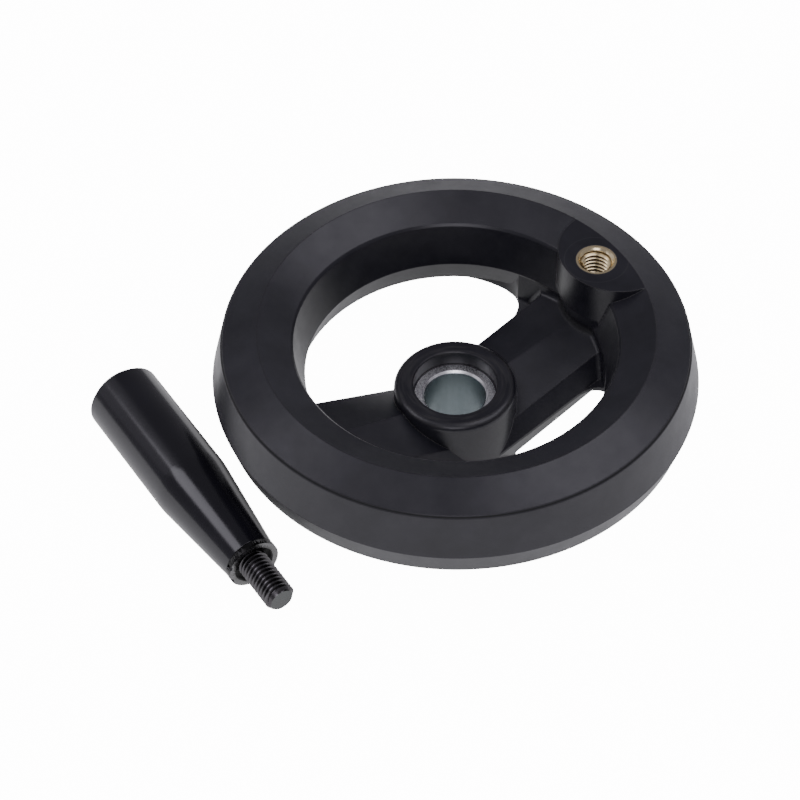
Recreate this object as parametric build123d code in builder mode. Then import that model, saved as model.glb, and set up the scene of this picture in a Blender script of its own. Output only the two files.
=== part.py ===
from build123d import *
import os
from math import hypot, radians, sqrt, tan

os.makedirs("parts", exist_ok=True)

# A dished two-spoke machine handwheel with a steel-bushed hub, and its revolving handle,
# which is unscrewed and lies beside the wheel on the same bench.
# Millimetres. Z = 0 is the hub's end face, the hub bore runs along Z, and +X points at the handle boss.

# rim: insets are measured inwards from the outside radius, rises upwards from the underside
wheel_diameter = 125.0
rim_underside = 23.1
parting_rise = 6.9
underside_inset = 2.0
outer_edge_inset = 2.7
outer_edge_rise = 18.9
ridge_inset = 12.0
ridge_rise = 22.9
inner_edge_inset = 21.0
inner_edge_rise = 18.6
throat_inset = 23.8
throat_undercut = 2.2
rim_edge_chamfer = 0.5

# hub
hub_height = 24.9
hub_base_radius = 16.6
hub_top_radius = 15.9
hub_base_chamfer = 0.8
hub_edge_round = 1.9
recess_chamfer = 0.3
recess_radius = 10.9
recess_depth = 4.4

# steel bush with a plain bore
bore_diameter = 16.0
bush_wall = 2.6
bush_chamfer = 0.6

# spokes: low roofs with steep flanks over leaning skirts, hollow underneath. Heights are given
# at the hub's wall, and drops are measured down from the rim's parting line at the rim's wall.
spoke_width = 32.0
spoke_shoulder_width = 25.4
spoke_skirt_width = 28.0
spoke_hollow_width = 19.0
spoke_roof_thickness = 5.0
ridge_at_hub = 22.6
ridge_drop = 1.9
shoulder_at_hub = 19.4
shoulder_drop = 2.3
edge_at_hub = 14.3
edge_drop = 8.2
skirt_at_hub = 7.3
skirt_drop = 13.7
edge_thickness = 0.8
spoke_end_inset = 5.0
spoke_overlap = 2.0
corner_radius = 5.6
corner_slope = 14.0
foot_depth = 3.1
root_step = 0.15
wing_reach = 17.5
wing_knee = 7.5
wing_knee_rise = 0.6
wing_tip_rise = 2.1
root_fillet = 1.2
boss_fillet = 1.4

# handle boss: a pad that ends at the ridge, on a column that narrows down to the spoke
boss_radius = 15.5
boss_straight = 12.0
boss_taper = 16.0
boss_height = 25.4

# threaded brass insert, set back from the boss's axis towards the hub
insert_setback = 6.8
insert_diameter = 10.6
insert_length = 14.0
insert_mouth_diameter = 9.6
thread_diameter = 8.0
thread_minor_diameter = 6.65

# revolving handle: a tapered grip that turns on a flanged spindle
handle_offset = 68.8
handle_reach = 56.6
handle_length = 69.2
grip_diameter = 20.0
grip_straight = 38.5
grip_neck_diameter = 13.8
grip_end_chamfer = 1.4
grip_waist_round = 30.0
flange_diameter = 14.1
flange_thickness = 1.5
flange_recess_diameter = 10.8
flange_recess_depth = 0.8
flange_notch_width = 1.2
flange_notch_depth = 0.6
flange_notch_turn = 160.0
flange_notch_spacing = 40.0
journal_diameter = 9.0
journal_length = 48.0
stud_length = 13.6
stud_chamfer = 0.9
running_gap = 0.05
free_gap = 0.3

# snap ring that keeps the grip on the spindle
snap_ring_bore = 7.6
snap_ring_diameter = 9.9
snap_ring_thickness = 1.0
snap_ring_split = 30.0
snap_ring_setback = 4.0

# worked out from the sizes above
rim_radius = wheel_diameter / 2
throat_radius = rim_radius - throat_inset
throat_height = rim_underside + parting_rise
underside_inner_radius = throat_radius + throat_undercut
ridge_radius = rim_radius - ridge_inset
ridge_top = rim_underside + ridge_rise
bush_radius = bore_diameter / 2 + bush_wall
bush_height = hub_height - recess_depth
spoke_end = rim_radius - spoke_end_inset
spoke_half = spoke_width / 2
shoulder_half = spoke_shoulder_width / 2
skirt_half = spoke_skirt_width / 2
hollow_half = spoke_hollow_width / 2
wing_half = spoke_half + wing_reach
root_radius = throat_radius + root_step
foot_inner_radius = underside_inner_radius + root_step
foot_radius = foot_inner_radius + foot_depth
insert_radius = insert_diameter / 2
insert_seat = (ridge_radius - insert_setback, 0, ridge_top - insert_length)
grip_radius = grip_diameter / 2
neck_radius = grip_neck_diameter / 2
journal_radius = journal_diameter / 2
snap_ring_centre = flange_thickness + journal_length - snap_ring_setback
snap_groove_width = snap_ring_thickness + free_gap / 2


def spoke_line(at_hub, drop, reach):
    """Height, at a reach from the wheel's axis, of a line along the spoke that runs straight to the rim."""
    climb = (throat_height - drop - at_hub) / (root_radius - hub_base_radius)
    return at_hub + climb * (reach - hub_base_radius)


def corner_line(distance, reach):
    """Height of the web beside the spoke, which rises slowly from the spoke's edge."""
    return spoke_line(edge_at_hub, edge_drop, reach) + (distance - spoke_half) * tan(radians(corner_slope))


def spoke_section(reach, half_outline):
    """Face across the spoke, from the half of its outline that starts and ends on the centre line."""
    with BuildSketch(Plane.YZ.offset(reach)) as section:
        with BuildLine():
            Polyline(*half_outline, *[(-y, z) for y, z in half_outline[-2:0:-1]], close=True)
        make_face()
    return section.sketch.face()


def ring_section(inner, outer, low, high, mode=Mode.ADD):
    """Rectangle in the open sketch that revolves into a plain ring between two radii and two heights."""
    with Locations((inner, low)):
        Rectangle(outer - inner, high - low, align=(Align.MIN, Align.MIN), mode=mode)


# One spoke, still a separate solid. It reaches from the wheel's axis to the rim's underside.
with BuildPart() as spoke:
    with BuildSketch() as spoke_plan:
        Circle(foot_radius)
        Circle(foot_inner_radius, mode=Mode.SUBTRACT)
        with Locations((foot_radius / 2, 0)):
            Rectangle(foot_radius, 2 * foot_radius, mode=Mode.INTERSECT)
        with Locations((-spoke_overlap, 0)):
            Rectangle(spoke_overlap + spoke_end, spoke_width, align=(Align.MIN, Align.CENTER))
        corner_x = sqrt(foot_inner_radius**2 - spoke_half**2)
        corners = [
            spoke_plan.vertices().sort_by_distance((corner_x, side * spoke_half))[0]
            for side in (-1, 1)
        ]
        fillet(corners, corner_radius)
        Circle(spoke_end, mode=Mode.INTERSECT)
    extrude(amount=throat_height - root_step)

    # underside: skirts beside a hollow, and wings that feather out under the rim
    sections = []
    for reach in (-spoke_overlap, spoke_end):
        ridge = spoke_line(ridge_at_hub, ridge_drop, reach)
        shoulder = spoke_line(shoulder_at_hub, shoulder_drop, reach)
        skirt = spoke_line(skirt_at_hub, skirt_drop, reach)
        edge_foot = spoke_line(edge_at_hub, edge_drop, reach) - edge_thickness
        half_outline = [
            (0, 2 * throat_height),
            (wing_half, 2 * throat_height),
            (wing_half, corner_line(wing_half, reach) + wing_tip_rise),
            (spoke_half + wing_knee, edge_foot + wing_knee_rise),
            (spoke_half, edge_foot),
            (skirt_half, skirt),
            (hollow_half, skirt),
            (hollow_half, shoulder - spoke_roof_thickness),
            (0, ridge - spoke_roof_thickness),
        ]
        sections.append(spoke_section(reach, half_outline))
    loft(sections, ruled=True, mode=Mode.INTERSECT)

# What is cleared away above the spoke, up to the rim's inner wall.
with BuildPart() as roof_tool:
    sections = []
    for reach in (-spoke_overlap, spoke_end):
        half_outline = [
            (0, spoke_line(ridge_at_hub, ridge_drop, reach)),
            (shoulder_half, spoke_line(shoulder_at_hub, shoulder_drop, reach)),
            (spoke_half, spoke_line(edge_at_hub, edge_drop, reach)),
            (foot_radius, corner_line(foot_radius, reach)),
            (foot_radius, 2 * throat_height),
            (0, 2 * throat_height),
        ]
        sections.append(spoke_section(reach, half_outline))
    loft(sections, ruled=True)
    with BuildSketch():
        Circle(root_radius)
    extrude(amount=2 * throat_height, mode=Mode.INTERSECT)

with BuildPart() as roofed_spoke:
    add(spoke.part)
    add(roof_tool.part, mode=Mode.SUBTRACT)
    curved_edges = roofed_spoke.edges().filter_by(GeomType.BSPLINE)
    root_edges = [
        edge for edge in curved_edges if abs(hypot((edge @ 0.5).X, (edge @ 0.5).Y) - root_radius) < 0.01
    ]
    fillet(root_edges, root_fillet)

# The boss: a column that narrows downwards, kept inside the ridge circle.
with BuildPart() as handle_boss:
    boss_foot_radius = boss_radius - (boss_height - boss_straight) * tan(radians(boss_taper))
    with BuildSketch(Plane((ridge_radius, 0, ridge_top), x_dir=(1, 0, 0), z_dir=(0, -1, 0))) as column:
        with BuildLine():
            Polyline(
                (0, 0),
                (boss_radius, 0),
                (boss_radius, -boss_straight),
                (boss_foot_radius, -boss_height),
                (0, -boss_height),
                close=True,
            )
        make_face()
    revolve(axis=Axis((ridge_radius, 0, 0), (0, 0, 1)))
    with BuildSketch():
        Circle(ridge_radius)
    extrude(amount=ridge_top, mode=Mode.INTERSECT)

# The wheel: rim, hub, two spokes and the boss in one moulding.
with BuildPart() as wheel_body:
    with BuildSketch(Plane.XZ) as rim_section:
        outer_edge = (rim_radius - outer_edge_inset, rim_underside + outer_edge_rise)
        inner_edge = (rim_radius - inner_edge_inset, rim_underside + inner_edge_rise)
        with BuildLine():
            Polyline(
                (rim_radius - underside_inset, rim_underside),
                (rim_radius, throat_height),
                outer_edge,
                (ridge_radius, ridge_top),
                inner_edge,
                (throat_radius, throat_height),
                (underside_inner_radius, rim_underside),
                close=True,
            )
        make_face()
        edges = [rim_section.vertices().sort_by_distance(spot)[0] for spot in (outer_edge, inner_edge)]
        chamfer(edges, rim_edge_chamfer)
    revolve()
    add(roofed_spoke.part)
    add(roofed_spoke.part.rotate(Axis.Z, 180))

    with BuildSketch(Plane.XZ) as hub_section:
        with BuildLine():
            Polyline(
                (0, 0),
                (hub_base_radius - hub_base_chamfer, 0),
                (hub_base_radius, hub_base_chamfer),
                (hub_top_radius, hub_height),
                (0, hub_height),
                close=True,
            )
        make_face()
        fillet(hub_section.vertices().sort_by_distance((hub_top_radius, hub_height))[0], hub_edge_round)
    revolve()
    add(handle_boss.part)
    # ease the boss into the spoke's roof and the rim's inner wall
    boss_edges = []
    for edge in wheel_body.edges().filter_by(GeomType.BSPLINE):
        spot = edge @ 0.5
        on_boss = hypot(spot.X - ridge_radius, spot.Y) < boss_radius - root_step
        if on_boss and hypot(spot.X, spot.Y) < foot_radius and spot.Z > rim_underside + boss_fillet:
            boss_edges.append(edge)
    fillet(boss_edges, boss_fillet)

    # the bush's seat, and the recess over it with an eased mouth
    with BuildSketch(Plane.XZ) as hub_hollow:
        ring_section(0, bush_radius, 0, bush_height)
        ring_section(0, recess_radius, bush_height, hub_height)
    revolve(mode=Mode.SUBTRACT)
    mouth = wheel_body.edges().filter_by(GeomType.CIRCLE).sort_by_distance((recess_radius, 0, hub_height))[0]
    chamfer(mouth, recess_chamfer)

    # the threaded insert's seat
    with BuildSketch(Plane(insert_seat, x_dir=(1, 0, 0), z_dir=(0, -1, 0))) as boss_hollow:
        ring_section(0, insert_radius, 0, insert_length)
    revolve(axis=Axis(insert_seat, (0, 0, 1)), mode=Mode.SUBTRACT)
wheel_body.part.label = "wheel_body"

with BuildPart() as hub_bush:
    with BuildSketch(Plane.XZ) as bush_section:
        ring_section(bore_diameter / 2, bush_radius, 0, bush_height)
        bore_corners = bush_section.vertices().group_by(Axis.X)[0]
        chamfer(bore_corners, bush_chamfer)
    revolve()
hub_bush.part.label = "hub_bush"

with BuildPart() as thread_insert:
    with BuildSketch(Plane(insert_seat, x_dir=(1, 0, 0), z_dir=(0, -1, 0))) as insert_section:
        ring_section(thread_minor_diameter / 2, insert_radius, 0, insert_length)
        mouth_corner = insert_section.vertices().group_by(Axis.X)[0].sort_by(Axis.Y)[-1]
        chamfer(mouth_corner, (insert_mouth_diameter - thread_minor_diameter) / 2)
    revolve(axis=Axis(insert_seat, (0, 0, 1)))
thread_insert.part.label = "thread_insert"

# The handle's pieces share one section plane. Its first axis is the radius, and its second runs
# from the flange's outer face towards the big end.
handle_face = (-handle_offset, handle_reach - handle_length, grip_radius)
handle_plane = Plane(handle_face, x_dir=(1, 0, 0), z_dir=(0, 0, 1))
handle_axis = Axis(handle_face, (0, 1, 0))

with BuildPart() as handle_spindle:
    with BuildSketch(handle_plane) as spindle_section:
        ring_section(0, thread_diameter / 2, -stud_length, flange_recess_depth)
        stud_tip = (thread_diameter / 2, -stud_length)
        chamfer(spindle_section.vertices().sort_by_distance(stud_tip)[0], stud_chamfer)
        ring_section(flange_recess_diameter / 2, flange_diameter / 2, 0, flange_recess_depth)
        ring_section(0, flange_diameter / 2, flange_recess_depth, flange_thickness)
        ring_section(0, journal_radius, flange_thickness, flange_thickness + journal_length)
        ring_section(
            snap_ring_bore / 2,
            journal_radius,
            snap_ring_centre - snap_groove_width / 2,
            snap_ring_centre + snap_groove_width / 2,
            mode=Mode.SUBTRACT,
        )
    revolve(axis=handle_axis)
    with BuildSketch(Plane(handle_face, x_dir=(1, 0, 0), z_dir=(0, 1, 0))):
        for turn in (0, flange_notch_spacing):
            with PolarLocations(flange_diameter / 2, 1, start_angle=flange_notch_turn + turn):
                Rectangle(2 * flange_notch_depth, flange_notch_width)
    extrude(amount=flange_thickness, mode=Mode.SUBTRACT)
handle_spindle.part.label = "handle_spindle"

with BuildPart() as snap_ring:
    with BuildSketch(handle_plane) as snap_ring_section:
        ring_section(
            snap_ring_bore / 2,
            snap_ring_diameter / 2,
            snap_ring_centre - snap_ring_thickness / 2,
            snap_ring_centre + snap_ring_thickness / 2,
        )
    revolve(axis=handle_axis, revolution_arc=360 - snap_ring_split)
snap_ring.part.label = "snap_ring"

with BuildPart() as grip:
    with BuildSketch(handle_plane) as grip_section:
        waist = (grip_radius, handle_length - grip_straight)
        neck_start = flange_thickness + free_gap
        with BuildLine():
            Polyline(
                (0, neck_start),
                (neck_radius, neck_start),
                waist,
                (grip_radius, handle_length),
                (0, handle_length),
                close=True,
            )
        make_face()
        fillet(grip_section.vertices().sort_by_distance(waist)[0], grip_waist_round)
        chamfer(grip_section.vertices().sort_by_distance((grip_radius, handle_length))[0], grip_end_chamfer)
        bore_end = flange_thickness + journal_length + free_gap
        ring_section(0, journal_radius + running_gap, neck_start, bore_end, mode=Mode.SUBTRACT)
        ring_section(
            0,
            snap_ring_diameter / 2 + free_gap,
            snap_ring_centre - snap_ring_thickness / 2 - free_gap,
            snap_ring_centre + snap_ring_thickness / 2 + free_gap,
            mode=Mode.SUBTRACT,
        )
    revolve(axis=handle_axis)
grip.part.label = "grip"

export_step(wheel_body.part, "parts/wheel_body.step")
export_step(hub_bush.part, "parts/hub_bush.step")
export_step(thread_insert.part, "parts/thread_insert.step")
export_step(handle_spindle.part, "parts/handle_spindle.step")
export_step(snap_ring.part, "parts/snap_ring.step")
export_step(grip.part, "parts/grip.step")
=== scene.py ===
import math

import bmesh
import bpy
from mathutils import Matrix, Vector


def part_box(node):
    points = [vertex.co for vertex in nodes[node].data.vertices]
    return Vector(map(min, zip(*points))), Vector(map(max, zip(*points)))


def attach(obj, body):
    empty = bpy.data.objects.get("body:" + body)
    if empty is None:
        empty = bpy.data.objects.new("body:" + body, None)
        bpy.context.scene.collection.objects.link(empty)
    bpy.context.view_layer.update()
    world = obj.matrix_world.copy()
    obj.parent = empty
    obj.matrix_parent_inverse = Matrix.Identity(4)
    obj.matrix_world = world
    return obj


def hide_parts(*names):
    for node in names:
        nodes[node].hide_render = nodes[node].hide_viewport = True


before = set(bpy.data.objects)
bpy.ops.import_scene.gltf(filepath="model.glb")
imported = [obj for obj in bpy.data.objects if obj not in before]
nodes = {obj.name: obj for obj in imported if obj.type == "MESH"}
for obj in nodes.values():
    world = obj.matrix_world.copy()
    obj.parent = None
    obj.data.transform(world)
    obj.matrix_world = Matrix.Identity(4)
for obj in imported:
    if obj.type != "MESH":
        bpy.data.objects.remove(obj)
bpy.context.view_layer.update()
mm = 0.001

# a long lens above the wheel's near left side
cameraSettings = {
    "place": (-0.25076, -0.36899, 0.50579),
    "aim": (-0.02362, -0.01047, 0.042),
    "lens": 113.95,
    "sensor": 36,
    "roll": -0.626,
}


def addCamera(settings):
    data = bpy.data.cameras.new("camera")
    data.lens = settings["lens"]
    data.sensor_width = settings["sensor"]
    camera = bpy.data.objects.new("camera", data)
    bpy.context.scene.collection.objects.link(camera)
    place = Vector(settings["place"])
    facing = (Vector(settings["aim"]) - place).to_track_quat("-Z", "Y").to_matrix().to_4x4()
    tilt = Matrix.Rotation(math.radians(settings["roll"]), 4, "Z")
    camera.matrix_world = Matrix.Translation(place) @ facing @ tilt
    bpy.context.scene.camera = camera


addCamera(cameraSettings)
print("camera placed")


def addNode(tree, kind, place, **values):
    node = tree.nodes.new(kind)
    node.location = place
    for name, value in values.items():
        setattr(node, name, value)
    return node


def fill(tree, socket, value):
    # a socket takes a link or a plain value
    if isinstance(value, bpy.types.NodeSocket):
        tree.links.new(value, socket)
    else:
        socket.default_value = value


def addMath(tree, operation, place, *values, clamp=False):
    node = addNode(tree, "ShaderNodeMath", place, operation=operation, use_clamp=clamp)
    for socket, value in zip(node.inputs, values):
        fill(tree, socket, value)
    return node.outputs[0]


def addVectorMath(tree, operation, place, *values, output="Vector"):
    node = addNode(tree, "ShaderNodeVectorMath", place, operation=operation)
    for socket, value in zip(node.inputs, values):
        fill(tree, socket, value)
    return node.outputs[output]


def addRange(tree, value, place, source=(0.0, 1.0), target=(0.0, 1.0)):
    # maps source to target and holds both ends
    node = addNode(tree, "ShaderNodeMapRange", place)
    names = ("Value", "From Min", "From Max", "To Min", "To Max")
    for name, item in zip(names, (value, *source, *target)):
        fill(tree, node.inputs[name], item)
    return node.outputs["Result"]


def addCoordinate(tree, vector, axis, place):
    parts = addNode(tree, "ShaderNodeSeparateXYZ", place)
    fill(tree, parts.inputs["Vector"], vector)
    return parts.outputs[axis]


def nearness(tree, value, centre, width, place):
    # 1 where the value is at the centre, falling to 0 at the width
    offset = addMath(tree, "SUBTRACT", place, value, centre)
    size = addMath(tree, "ABSOLUTE", (place[0] + 150, place[1]), offset)
    return addRange(tree, size, (place[0] + 300, place[1]), (width, 0.0))


def mixColours(tree, factor, first, second, place):
    mix = addNode(tree, "ShaderNodeMix", place, data_type="RGBA")
    for socket, colour in ((mix.inputs["A"], first), (mix.inputs["B"], second)):
        fill(tree, socket, colour if isinstance(colour, bpy.types.NodeSocket) else (*colour, 1))
    fill(tree, mix.inputs["Factor"], factor)
    return mix.outputs["Result"]


def newMaterial(name, metallic=0.0):
    material = bpy.data.materials.new(name)
    material.use_nodes = True
    shader = material.node_tree.nodes["Principled BSDF"]
    shader.inputs["Metallic"].default_value = metallic
    coordinates = addNode(material.node_tree, "ShaderNodeTexCoord", (-1700, 0))
    return material, material.node_tree, shader, coordinates.outputs["Object"]


floorSettings = {
    "size": 8.0,
    "depth": -0.05 * mm,
    "roughness": 0.9,
    "paleness": 0.8,
    "glow": 0.62,  # what the part sees and reflects
    "whiteness": 14.0,  # what the camera sees
    "shadePlace": (-0.046, 0.034, 0),  # the floor between the handle and the wheel
    "shadeReach": (0.014, 0.034),  # from full shade to none
    "shade": 0.2,  # how bright the floor stays there
}


def addFloor(settings):
    bm = bmesh.new()
    bmesh.ops.create_grid(bm, x_segments=1, y_segments=1, size=settings["size"] / 2)
    bmesh.ops.translate(bm, verts=bm.verts, vec=(0, 0, settings["depth"]))
    mesh = bpy.data.meshes.new("floor")
    bm.to_mesh(mesh)
    bm.free()
    floor = bpy.data.objects.new("floor", mesh)
    bpy.context.scene.collection.objects.link(floor)
    material, tree, shader, vector = newMaterial("paleFloor")
    shader.inputs["Roughness"].default_value = settings["roughness"]
    shader.inputs["Specular IOR Level"].default_value = 0.0
    shader.inputs["Emission Color"].default_value = (1, 1, 1, 1)
    spot = settings["shadePlace"]
    reach = addVectorMath(tree, "DISTANCE", (-1200, -400), vector, spot, output="Value")
    shaded = addRange(tree, reach, (-900, -400), settings["shadeReach"], (settings["shade"], 1.0))
    paleness = addMath(tree, "MULTIPLY", (-300, 100), shaded, settings["paleness"])
    dimmed = addMath(tree, "MULTIPLY", (-600, -400), shaded, settings["glow"])
    seen = addNode(tree, "ShaderNodeLightPath", (-600, -100)).outputs["Is Camera Ray"]
    glow = addRange(tree, seen, (-300, -200), target=(dimmed, settings["whiteness"]))
    fill(tree, shader.inputs["Base Color"], paleness)
    fill(tree, shader.inputs["Emission Strength"], glow)
    mesh.materials.append(material)


addFloor(floorSettings)

lightSettings = {
    "centre": (0.0, 0.0, 0.03),
    "colour": (0.955, 0.93, 1.03),
    "room": (0.32, 0.18),  # how bright the room is round the panels, at eye height and overhead
    "whiteness": 14.0,  # what the camera sees
    "panels": {  # azimuth, height, distance, size, radiance
        "leftPanel": (146, 48, 1.2, 0.54, 2.4),
        "backPanel": (122, 30, 1.4, 1.00, 0.26),
        "sidePanel": (20, 22, 1.4, 1.00, 0.16),
        "rightPanel": (335, 64, 1.3, 0.90, 2.0),
        "topPanel": (165, 76, 1.3, 0.50, 0.8),
        "frontPanel": (236, 42, 1.4, 0.70, 3.0),
    },
}


def addWorld(settings):
    world = bpy.data.worlds.new("studio")
    world.use_nodes = True
    tree = world.node_tree
    background = tree.nodes["Background"]
    direction = addNode(tree, "ShaderNodeTexCoord", (-900, -200)).outputs["Generated"]
    height = addCoordinate(tree, direction, "Z", (-750, -200))
    room = addRange(tree, height, (-600, -200), target=settings["room"])
    seen = addNode(tree, "ShaderNodeLightPath", (-600, 0)).outputs["Is Camera Ray"]
    strength = addRange(tree, seen, (-300, 0), target=(room, settings["whiteness"]))
    fill(tree, background.inputs["Strength"], strength)
    background.inputs["Color"].default_value = (*settings["colour"], 1)
    bpy.context.scene.world = world


def addPanel(name, azimuth, height, distance, size, radiance, settings):
    azimuth, height = math.radians(azimuth), math.radians(height)
    level = math.cos(height)
    towards = Vector((level * math.cos(azimuth), level * math.sin(azimuth), math.sin(height)))
    data = bpy.data.lights.new(name, "AREA")
    data.shape = "SQUARE"
    data.size = size
    data.energy = radiance * math.pi * size**2
    data.color = settings["colour"]
    light = bpy.data.objects.new(name, data)
    bpy.context.scene.collection.objects.link(light)
    facing = (-towards).to_track_quat("-Z", "Y").to_matrix().to_4x4()
    place = Vector(settings["centre"]) + towards * distance
    light.matrix_world = Matrix.Translation(place) @ facing


addWorld(lightSettings)
for name, panel in lightSettings["panels"].items():
    addPanel(name, *panel, lightSettings)
print("stage and lights placed")


def newGroup(name, inputs, outputs):
    # an input is (name, socket type, default) and an output is (name, socket type)
    tree = bpy.data.node_groups.new(name, "ShaderNodeTree")
    for label, kind, default in inputs:
        socket = tree.interface.new_socket(label, in_out="INPUT", socket_type=kind)
        if default is not None:
            socket.default_value = default
    for label, kind in outputs:
        tree.interface.new_socket(label, in_out="OUTPUT", socket_type=kind)
    start = addNode(tree, "NodeGroupInput", (-900, 0))
    end = addNode(tree, "NodeGroupOutput", (600, 0))
    return tree, start.outputs, end.inputs


cloudSettings = {"detail": 4.0, "roughness": 0.55, "spread": (0.3, 0.7)}


def makeCloudGroup(settings):
    # soft blotches from Low to High, of a size given in millimetres
    inputs = [
        ("Vector", "NodeSocketVector", None),
        ("Size", "NodeSocketFloat", 10.0),
        ("Low", "NodeSocketFloat", 0.3),
        ("High", "NodeSocketFloat", 0.4),
    ]
    tree, start, end = newGroup("cloudySheen", inputs, [("Value", "NodeSocketFloat")])
    noise = addNode(tree, "ShaderNodeTexNoise", (-450, 0))
    noise.inputs["Detail"].default_value = settings["detail"]
    noise.inputs["Roughness"].default_value = settings["roughness"]
    fill(tree, noise.inputs["Vector"], start["Vector"])
    fill(tree, noise.inputs["Scale"], addMath(tree, "DIVIDE", (-700, -150), 1 / mm, start["Size"]))
    limits = (start["Low"], start["High"])
    value = addRange(tree, noise.outputs["Fac"], (-150, 0), settings["spread"], limits)
    fill(tree, end["Value"], value)
    return tree


edgeSettings = {
    "samples": 6,
    "likeness": (0.995, 0.9),  # of the eased and the plain normal, where an edge starts and is full
}


def makeEdgeGroup(settings):
    # rounds the shading of sharp edges, and marks where they are
    inputs = [("Radius", "NodeSocketFloat", 0.4 * mm)]
    outputs = [("Edge", "NodeSocketFloat"), ("Normal", "NodeSocketVector")]
    tree, start, end = newGroup("easedEdge", inputs, outputs)
    flat = addNode(tree, "ShaderNodeNewGeometry", (-700, -250)).outputs["Normal"]
    bevel = addNode(tree, "ShaderNodeBevel", (-600, 0), samples=settings["samples"])
    fill(tree, bevel.inputs["Radius"], start["Radius"])
    eased = bevel.outputs["Normal"]
    likeness = addVectorMath(tree, "DOT_PRODUCT", (-350, -100), eased, flat, output="Value")
    fill(tree, end["Edge"], addRange(tree, likeness, (-100, -100), settings["likeness"]))
    fill(tree, end["Normal"], eased)
    return tree


def makeAxisGroup():
    # distance from an axis through Centre. Flatten has a zero for the direction the axis runs in
    inputs = [
        ("Vector", "NodeSocketVector", None),
        ("Centre", "NodeSocketVector", (0, 0, 0)),
        ("Flatten", "NodeSocketVector", (1, 1, 0)),
    ]
    tree, start, end = newGroup("axisDistance", inputs, [("Distance", "NodeSocketFloat")])
    offset = addVectorMath(tree, "SUBTRACT", (-600, 0), start["Vector"], start["Centre"])
    level = addVectorMath(tree, "MULTIPLY", (-350, 0), offset, start["Flatten"])
    length = addVectorMath(tree, "LENGTH", (-100, 0), level, output="Value")
    fill(tree, end["Distance"], length)
    return tree


cloudGroup = makeCloudGroup(cloudSettings)
edgeGroup = makeEdgeGroup(edgeSettings)
axisGroup = makeAxisGroup()


def useGroup(tree, group, place, **values):
    node = addNode(tree, "ShaderNodeGroup", place, node_tree=group)
    for name, value in values.items():
        fill(tree, node.inputs[name], value)
    return node.outputs


def addClouds(tree, vector, size, limits, place):
    low, high = limits
    clouds = useGroup(tree, cloudGroup, place, Vector=vector, Size=size, Low=low, High=high)
    return clouds["Value"]


def addDistance(tree, vector, centre, place, flatten=(1, 1, 0)):
    axis = useGroup(tree, axisGroup, place, Vector=vector, Centre=centre, Flatten=flatten)
    return axis["Distance"]


def addGrain(tree, vector, settings, normal):
    # fine bumps: size in millimetres, depth in metres
    noise = addNode(tree, "ShaderNodeTexNoise", (-500, -500))
    noise.inputs["Scale"].default_value = 1 / (settings["grainSize"] * mm)
    noise.inputs["Detail"].default_value = settings["grainDetail"]
    bump = addNode(tree, "ShaderNodeBump", (-250, -500))
    bump.inputs["Strength"].default_value = 1.0
    bump.inputs["Distance"].default_value = settings["grainDepth"]
    fill(tree, noise.inputs["Vector"], vector)
    fill(tree, bump.inputs["Height"], noise.outputs["Fac"])
    fill(tree, bump.inputs["Normal"], normal)
    return bump.outputs["Normal"]


# marks on the wheel's plastic, and painted shade round the boss's foot
markAndShadeSettings = {
    "bossAxis": (43.7 * mm, 0, 0),
    "ringRadius": 8.3 * mm,  # a faint circle round the insert
    "ringWidth": 0.12 * mm,
    "ringColour": (0.035, 0.035, 0.038),
    "padHeight": 45.9 * mm,
    "hubRadius": 15.6 * mm,  # turned streaks on the hub's end
    "hubBlend": 0.4 * mm,
    "hubHeight": 23.6 * mm,
    "hubRise": 0.8 * mm,
    "streakColour": (0.034, 0.033, 0.034),
    "streakWidth": 0.8,
    "streakLimits": (-0.5, 1.0),
    "streakDrift": (0.10, 0.10, 0.0),
    "lineRadius": 59.62 * mm,  # a dark line along the rim's outer edge
    "lineWidth": 0.30 * mm,
    "lineHeight": 40.5 * mm,
    # this colour serves both the line and the painted shade round the boss's foot
    "lineAndShadeColour": (0.002, 0.002, 0.002),
    "lineRoughness": 0.9,
    "footShadeAxis": (50.5 * mm, 0, 0),  # painted shade in the corner round the boss's foot
    "footShadeReach": (15.3 * mm, 14.3 * mm),  # where the painted shade starts and is full
    "footShadeHeight": (30.5 * mm, 27.0 * mm),
    "blend": 0.1 * mm,  # how softly the circle and the line end
}


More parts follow.
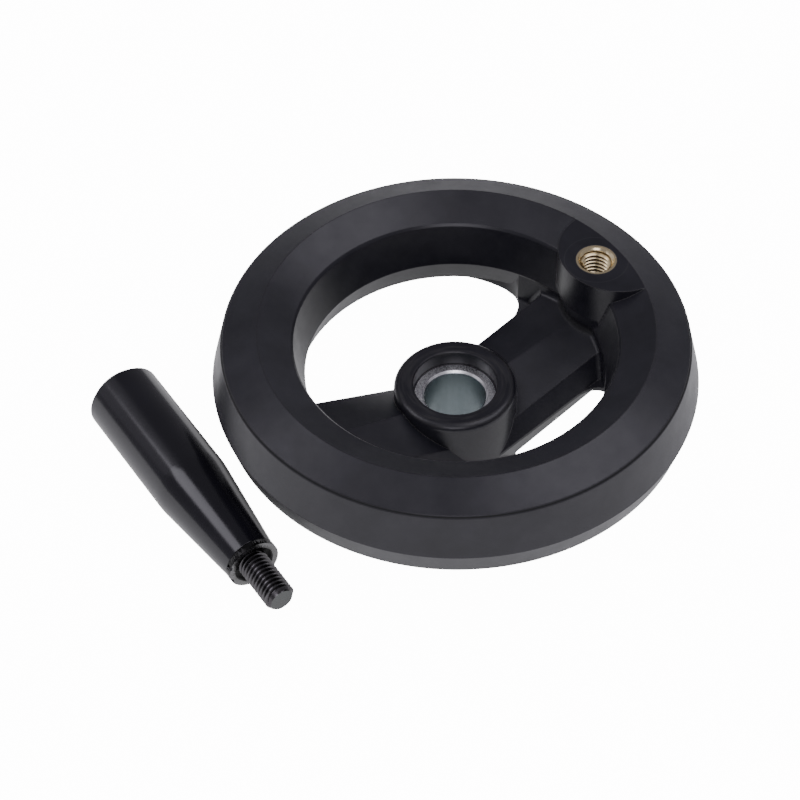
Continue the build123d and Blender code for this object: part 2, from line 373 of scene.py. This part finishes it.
def addWheelMarksAndShade(tree, vector, colour, settings):
    blend = settings["blend"]
    height = addCoordinate(tree, vector, "Z", (-1500, 900))
    fromBoss = addDistance(tree, vector, settings["bossAxis"], (-1500, 700))
    fromHub = addDistance(tree, vector, (0, 0, 0), (-1500, 500))
    fromFootShadeAxis = addDistance(tree, vector, settings["footShadeAxis"], (-1500, 1400))

    # the circle, on the pad alone
    ringPlace = (-1300, 700)
    onRing = nearness(tree, fromBoss, settings["ringRadius"], settings["ringWidth"], ringPlace)
    top = settings["padHeight"]
    onPad = addRange(tree, height, (-1000, 900), (top - blend, top))
    ring = addMath(tree, "MULTIPLY", (-800, 800), onRing, onPad)
    marked = mixColours(tree, ring, colour, settings["ringColour"], (-450, 700))

    # the streaks: noise over the distance, broken up a little round the axis
    drift = addVectorMath(tree, "MULTIPLY", (-1300, 350), vector, settings["streakDrift"])
    rings = addNode(tree, "ShaderNodeCombineXYZ", (-1300, 500))
    fill(tree, rings.inputs["Z"], fromHub)
    place = addVectorMath(tree, "ADD", (-1100, 450), drift, rings.outputs["Vector"])
    width, limits = settings["streakWidth"], settings["streakLimits"]
    streaks = addClouds(tree, place, width, limits, (-950, 450))
    edge, end = settings["hubRadius"], settings["hubHeight"]
    inHub = addRange(tree, fromHub, (-950, 250), (edge + settings["hubBlend"], edge))
    onTop = addRange(tree, height, (-950, 100), (end, end + settings["hubRise"]))
    onHub = addMath(tree, "MULTIPLY", (-750, 250), inHub, onTop)
    streaked = addMath(tree, "MULTIPLY", (-600, 350), streaks, onHub, clamp=True)
    turned = mixColours(tree, streaked, marked, settings["streakColour"], (-450, 450))

    # the line and the painted shade round the boss's foot, both dark and dull
    linePlace = (-1300, 1100)
    near = nearness(tree, fromHub, settings["lineRadius"], settings["lineWidth"], linePlace)
    start = settings["lineHeight"]
    high = addRange(tree, height, (-1000, 1300), (start, start + blend))
    line = addMath(tree, "MULTIPLY", (-800, 1200), near, high)
    inFootShade = addRange(tree, fromFootShadeAxis, (-1300, 1400), settings["footShadeReach"])
    low = addRange(tree, height, (-1000, 1500), settings["footShadeHeight"])
    # painted shade in the corner where the boss meets the spoke
    footShade = addMath(tree, "MULTIPLY", (-800, 1400), inFootShade, low)
    dark = addMath(tree, "MAXIMUM", (-600, 1300), line, footShade)
    return mixColours(tree, dark, turned, settings["lineAndShadeColour"], (-250, 600)), dark


wheelPlasticSettings = {
    "dark": (0.0055, 0.0053, 0.0095),
    "pale": (0.0150, 0.0147, 0.0200),
    "cloudSize": 9.0,
    "roughness": (0.30, 0.37),
    "glossSize": 5.4,
    "grainSize": 0.6,
    "grainDetail": 3.0,
    "grainDepth": 0.004 * mm,
    "edgeRadius": 0.35 * mm,
    # the pale colour of the painted highlight on sharp edges
    "edgeHighlightColour": (0.022, 0.022, 0.024),
    "refraction": 1.5,
}

gripPlasticSettings = {
    "dark": (0.0040, 0.0036, 0.0066),
    "pale": (0.0070, 0.0066, 0.0105),
    "cloudSize": 12.0,
    "roughness": (0.15, 0.20),
    "glossSize": 7.2,
    "grainSize": 0.8,
    "grainDetail": 3.0,
    "grainDepth": 0.002 * mm,
    "edgeRadius": 0.3 * mm,
    # the pale colour of the painted highlight on sharp edges
    "edgeHighlightColour": (0.018, 0.018, 0.020),
    "refraction": 1.6,
}


def makeBlackPlastic(name, settings, marks=None):
    material, tree, shader, vector = newMaterial(name)
    shader.inputs["IOR"].default_value = settings["refraction"]
    clouds = addClouds(tree, vector, settings["cloudSize"], (0.0, 1.0), (-900, 200))
    colour = mixColours(tree, clouds, settings["dark"], settings["pale"], (-600, 200))
    gloss = addClouds(tree, vector, settings["glossSize"], settings["roughness"], (-900, -50))
    if marks:
        # dark holds the rim line and the painted shade round the boss's foot
        colour, dark = addWheelMarksAndShade(tree, vector, colour, marks)
        gloss = addRange(tree, dark, (-350, 0), target=(gloss, marks["lineRoughness"]))
    edges = useGroup(tree, edgeGroup, (-900, -300), Radius=settings["edgeRadius"])
    # painted highlight: a pale colour on every sharp edge, hollow and convex alike
    withEdgeHighlight = mixColours(tree, edges["Edge"], colour, settings["edgeHighlightColour"], (-100, 200))
    fill(tree, shader.inputs["Base Color"], withEdgeHighlight)
    fill(tree, shader.inputs["Roughness"], gloss)
    fill(tree, shader.inputs["Normal"], addGrain(tree, vector, settings, edges["Normal"]))
    return material


bushSettings = {
    # the bore's dark colour is painted shade, and its streaks are painted reflections
    "bore": (0.190, 0.224, 0.239),
    "boreStreak": (0.225, 0.262, 0.28),
    # the chamfer's pure white is a painted highlight
    "chamfer": (1.0, 1.0, 1.0),
    "face": (0.90, 0.90, 0.90),
    "faceSpeck": (0.44, 0.45, 0.46),
    "boreRadius": 8.05 * mm,
    "boreBlend": 0.1 * mm,
    "chamferRadius": 8.58 * mm,
    "chamferBlend": 0.05 * mm,
    "streakWidth": 2.2,
    "reflectionStretch": (1, 1, 0.06),
    "speckSize": 0.35,
    "speckLimits": (-0.2, 1.0),
    "roughness": (0.28, 0.42),
    "glossSize": 1.2,
}


def makeBushSteel(settings):
    material, tree, shader, vector = newMaterial("bushSteel", metallic=1.0)
    radius = addDistance(tree, vector, (0, 0, 0), (-1000, 500))
    # painted reflection: upright streaks in the bore, a noise stretched along the axis, over a dark
    # colour that is painted shade
    upright = addVectorMath(tree, "MULTIPLY", (-1100, 150), vector, settings["reflectionStretch"])
    streaks = addClouds(tree, upright, settings["streakWidth"], (0.0, 1.0), (-900, 150))
    specks = addClouds(tree, vector, settings["speckSize"], settings["speckLimits"], (-900, -50))
    bore = mixColours(tree, streaks, settings["bore"], settings["boreStreak"], (-600, 200))
    face = mixColours(tree, specks, settings["face"], settings["faceSpeck"], (-600, 0))
    edge, end = settings["boreRadius"], settings["chamferRadius"]
    onFace = addRange(tree, radius, (-750, 500), (edge, edge + settings["boreBlend"]))
    pastChamfer = addRange(tree, radius, (-750, 750), (end, end + settings["chamferBlend"]))
    # painted highlight on the chamfer
    top = mixColours(tree, pastChamfer, settings["chamfer"], face, (-450, 0))
    gloss = addClouds(tree, vector, settings["glossSize"], settings["roughness"], (-900, -300))
    fill(tree, shader.inputs["Base Color"], mixColours(tree, onFace, bore, top, (-250, 150)))
    fill(tree, shader.inputs["Roughness"], gloss)
    return material


spindleSettings = {
    "axis": (-68.8 * mm, 0, 10 * mm),
    "crest": (0.125, 0.122, 0.126),
    # the valleys' darker colour is painted shade
    "valleyShade": (0.085, 0.080, 0.084),
    # painted shadow in the flange's shallow recess
    "recess": (0.008, 0.008, 0.008),
    "flange": (0.20, 0.20, 0.20),
    # painted shade on the flange's side
    "flangeSideShade": (0.03, 0.03, 0.03),
    "tip": (0.11, 0.114, 0.112),
    "tipPlace": -26.1 * mm,
    "crestRadius": 3.95 * mm,
    "valleyRadius": 3.45 * mm,
    "studRadius": 4.0 * mm,
    "recessRadius": 5.38 * mm,
    "flangeRadius": 6.95 * mm,
    "blend": 0.05 * mm,
    "roughness": (0.22, 0.34),
    "glossSize": 0.9,
}


def makeSpindleSteel(settings):
    # blackened steel, darker in the thread's valleys (painted shade), darkest in the flange's
    # recess (painted shadow), with painted shade on the flange's side
    material, tree, shader, vector = newMaterial("spindleSteel", metallic=1.0)
    radius = addDistance(tree, vector, settings["axis"], (-1000, 500), flatten=(1, 0, 1))
    along = addCoordinate(tree, vector, "Y", (-1000, 750))
    blend, tip = settings["blend"], settings["tipPlace"]
    atTip = addRange(tree, along, (-750, 750), (tip, tip - blend))
    thread = (settings["valleyRadius"], settings["crestRadius"])
    crest = addRange(tree, radius, (-750, 500), thread)
    stud, recess = settings["studRadius"], settings["recessRadius"]
    flange = settings["flangeRadius"]
    pastStud = addRange(tree, radius, (-750, 250), (stud, stud + blend))
    pastRecess = addRange(tree, radius, (-750, 0), (recess, recess + 2 * blend))
    pastFlange = addRange(tree, radius, (-750, -250), (flange, flange + blend))
    colour = mixColours(tree, crest, settings["valleyShade"], settings["crest"], (-550, 400))
    colour = mixColours(tree, atTip, colour, settings["tip"], (-400, 400))
    # painted shadow in the recess, between the stud and the recess's edge
    colour = mixColours(tree, pastStud, colour, settings["recess"], (-250, 300))
    colour = mixColours(tree, pastRecess, colour, settings["flange"], (-100, 200))
    colour = mixColours(tree, pastFlange, colour, settings["flangeSideShade"], (50, 200))
    gloss = addClouds(tree, vector, settings["glossSize"], settings["roughness"], (-900, -500))
    fill(tree, shader.inputs["Base Color"], colour)
    fill(tree, shader.inputs["Roughness"], gloss)
    return material


brassSettings = {
    "axis": (43.7 * mm, 0, 0),
    "bright": (0.88, 0.74, 0.47),
    # the darker colour is painted shade in the thread's valleys
    "shadedBrass": (0.38, 0.28, 0.13),
    "thread": (3.45 * mm, 4.0 * mm),  # from the crests to the valleys
    "mouth": (4.05 * mm, 4.1 * mm),
    "roughness": (0.20, 0.28),
    "glossSize": 1.5,
}


def makeBrass(settings):
    # bright on the crests and the mouth, with painted shade in the thread's valleys
    material, tree, shader, vector = newMaterial("insertBrass", metallic=1.0)
    radius = addDistance(tree, vector, settings["axis"], (-1000, 300))
    valleyShade = addRange(tree, radius, (-750, 400), settings["thread"])
    mouth = addRange(tree, radius, (-750, 150), settings["mouth"])
    thread = mixColours(tree, valleyShade, settings["bright"], settings["shadedBrass"], (-500, 300))
    colour = mixColours(tree, mouth, thread, settings["bright"], (-250, 200))
    gloss = addClouds(tree, vector, settings["glossSize"], settings["roughness"], (-900, -50))
    fill(tree, shader.inputs["Base Color"], colour)
    fill(tree, shader.inputs["Roughness"], gloss)
    return material


ringSettings = {"colour": (0.35, 0.35, 0.36), "roughness": (0.30, 0.40), "glossSize": 0.8}


def makeRingSteel(settings):
    material, tree, shader, vector = newMaterial("ringSteel", metallic=1.0)
    shader.inputs["Base Color"].default_value = (*settings["colour"], 1)
    gloss = addClouds(tree, vector, settings["glossSize"], settings["roughness"], (-900, -50))
    fill(tree, shader.inputs["Roughness"], gloss)
    return material


wheelPlastic = makeBlackPlastic("wheelPlastic", wheelPlasticSettings, markAndShadeSettings)
gripPlastic = makeBlackPlastic("gripPlastic", gripPlasticSettings)
bushSteel = makeBushSteel(bushSettings)
spindleSteel = makeSpindleSteel(spindleSettings)
ringSteel = makeRingSteel(ringSettings)
insertBrass = makeBrass(brassSettings)
print("materials made")

for name, material in {
    "wheel_body": wheelPlastic,
    "hub_bush": bushSteel,
    "thread_insert": insertBrass,
    "handle_spindle": spindleSteel,
    "snap_ring": ringSteel,
    "grip": gripPlastic,
}.items():
    nodes[name].material_slots[0].material = material
print("frame nodes painted")

weld = 0.001 * mm  # points closer than this are one


def addPiece(name, bm, material, node, sharpAngle):
    bmesh.ops.remove_doubles(bm, verts=bm.verts, dist=weld)
    bmesh.ops.recalc_face_normals(bm, faces=bm.faces)
    mesh = bpy.data.meshes.new(name)
    bm.to_mesh(mesh)
    bm.free()
    mesh.shade_smooth()
    mesh.set_sharp_from_angle(angle=math.radians(sharpAngle))
    mesh.materials.append(material)
    piece = bpy.data.objects.new(name, mesh)
    bpy.context.scene.collection.objects.link(piece)
    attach(piece, "wheel")
    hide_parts(node)


def coilThread(bm, settings, length):
    # a zigzag line of several pitches, spun once with a rise of one pitch, makes the whole helix.
    # its spare turns at both ends are cut off afterwards
    pitch, root, crest = settings["pitch"], settings["rootRadius"], settings["crestRadius"]
    rootEnd, crestStart, crestEnd = settings["profile"]
    profile = [(0.0, root), (rootEnd, root), (crestStart, crest), (crestEnd, crest)]
    verts = []
    for turn in range(-1, math.ceil(length / pitch) + 2):
        verts += [bm.verts.new((radius, 0, (turn + share) * pitch)) for share, radius in profile]
    edges = [bm.edges.new(pair) for pair in zip(verts, verts[1:])]
    bmesh.ops.spin(
        bm,
        geom=verts + edges,
        cent=(0, 0, 0),
        axis=(0, 0, 1),
        dvec=(0, 0, pitch / settings["steps"]),
        angle=math.tau,
        steps=settings["steps"],
        use_merge=False,
    )
    bmesh.ops.remove_doubles(bm, verts=bm.verts, dist=weld)


def cutBetween(bm, low, high):
    for height, side in ((low, -1), (high, 1)):
        geometry = bm.verts[:] + bm.edges[:] + bm.faces[:]
        bmesh.ops.bisect_plane(
            bm, geom=geometry, plane_co=(0, 0, height), plane_no=(0, 0, side), clear_outer=True
        )


def rimEdges(bm, height):
    return [
        edge
        for edge in bm.edges
        if edge.is_boundary and all(abs(vert.co.z - height) < weld for vert in edge.verts)
    ]


studSettings = {
    "pitch": 1.25 * mm,
    "crestRadius": 3.98 * mm,
    "rootRadius": 3.32 * mm,
    "profile": (0.25, 0.56, 0.69),  # shares of the pitch: root's end, crest's start and end
    "steps": 64,
    "length": 14.4 * mm,  # from the tip to the floor of the flange's recess
    "tipRadius": 3.0 * mm,
    "tipSlope": 1.0,
    "sharpAngle": 40,
}


def makeStud(settings):
    low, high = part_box("handle_spindle")
    length = settings["length"]
    bm = bmesh.new()
    coilThread(bm, settings, length)
    for vert in bm.verts:
        radius = math.hypot(vert.co.x, vert.co.y)
        limit = settings["tipRadius"] + max(length - vert.co.z, 0) * settings["tipSlope"]
        if radius > limit:
            vert.co.xy *= limit / radius
    cutBetween(bm, 0, length)
    for height in (0, length):
        bmesh.ops.contextual_create(bm, geom=rimEdges(bm, height))
    turn = Matrix.Rotation(math.radians(90), 4, "X")  # the tip points along -Y
    place = Vector(((low.x + high.x) / 2, low.y + length, (low.z + high.z) / 2))
    bmesh.ops.transform(bm, matrix=Matrix.Translation(place) @ turn, verts=bm.verts)
    addPiece("stud", bm, spindleSteel, "handle_spindle", settings["sharpAngle"])


flangeSettings = {
    "studRadius": 4.05 * mm,
    "recessFloor": 14.4 * mm,
    "floorSlack": 0.01 * mm,
    "sharpAngle": 30,
}


def makeFlange(settings):
    # the flange and the journal keep the frame's own shape, without the plain stud
    low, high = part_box("handle_spindle")
    bm = bmesh.new()
    bm.from_mesh(nodes["handle_spindle"].data)
    bmesh.ops.remove_doubles(bm, verts=bm.verts, dist=weld)
    axisX, axisZ = (low.x + high.x) / 2, (low.z + high.z) / 2
    floor = low.y + settings["recessFloor"] + settings["floorSlack"]

    def onStud(face):
        spots = [vert.co for vert in face.verts]
        reach = max(math.hypot(spot.x - axisX, spot.z - axisZ) for spot in spots)
        return reach < settings["studRadius"] and all(spot.y < floor for spot in spots)

    bmesh.ops.delete(bm, geom=[face for face in bm.faces if onStud(face)], context="FACES")
    addPiece("flange", bm, spindleSteel, "handle_spindle", settings["sharpAngle"])


insertSettings = {
    "pitch": 1.25 * mm,
    "crestRadius": 3.36 * mm,
    "rootRadius": 4.02 * mm,
    "profile": (0.25, 0.56, 0.69),
    "steps": 64,
    "mouthRadius": 4.8 * mm,
    "mouthSlope": 1.0,
    "sharpAngle": 40,
}


def makeInsert(settings):
    low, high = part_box("thread_insert")
    length, outer = high.z - low.z, (high.x - low.x) / 2
    bm = bmesh.new()
    coilThread(bm, settings, length)
    for vert in bm.verts:
        radius = math.hypot(vert.co.x, vert.co.y)
        limit = settings["mouthRadius"] - max(length - vert.co.z, 0) * settings["mouthSlope"]
        if radius < limit:
            vert.co.xy *= limit / radius
    cutBetween(bm, 0, length)
    ends = []
    for height in (0, length):
        made = bmesh.ops.extrude_edge_only(bm, edges=rimEdges(bm, height))["geom"]
        for vert in (item for item in made if isinstance(item, bmesh.types.BMVert)):
            vert.co.xy *= outer / math.hypot(vert.co.x, vert.co.y)
        ends += [item for item in made if isinstance(item, bmesh.types.BMEdge)]
    bmesh.ops.bridge_loops(bm, edges=ends)
    place = Vector(((low.x + high.x) / 2, (low.y + high.y) / 2, low.z))
    bmesh.ops.translate(bm, verts=bm.verts, vec=place)
    addPiece("insert", bm, insertBrass, "thread_insert", settings["sharpAngle"])


makeStud(studSettings)
makeFlange(flangeSettings)
makeInsert(insertSettings)
print("threaded pieces modelled")
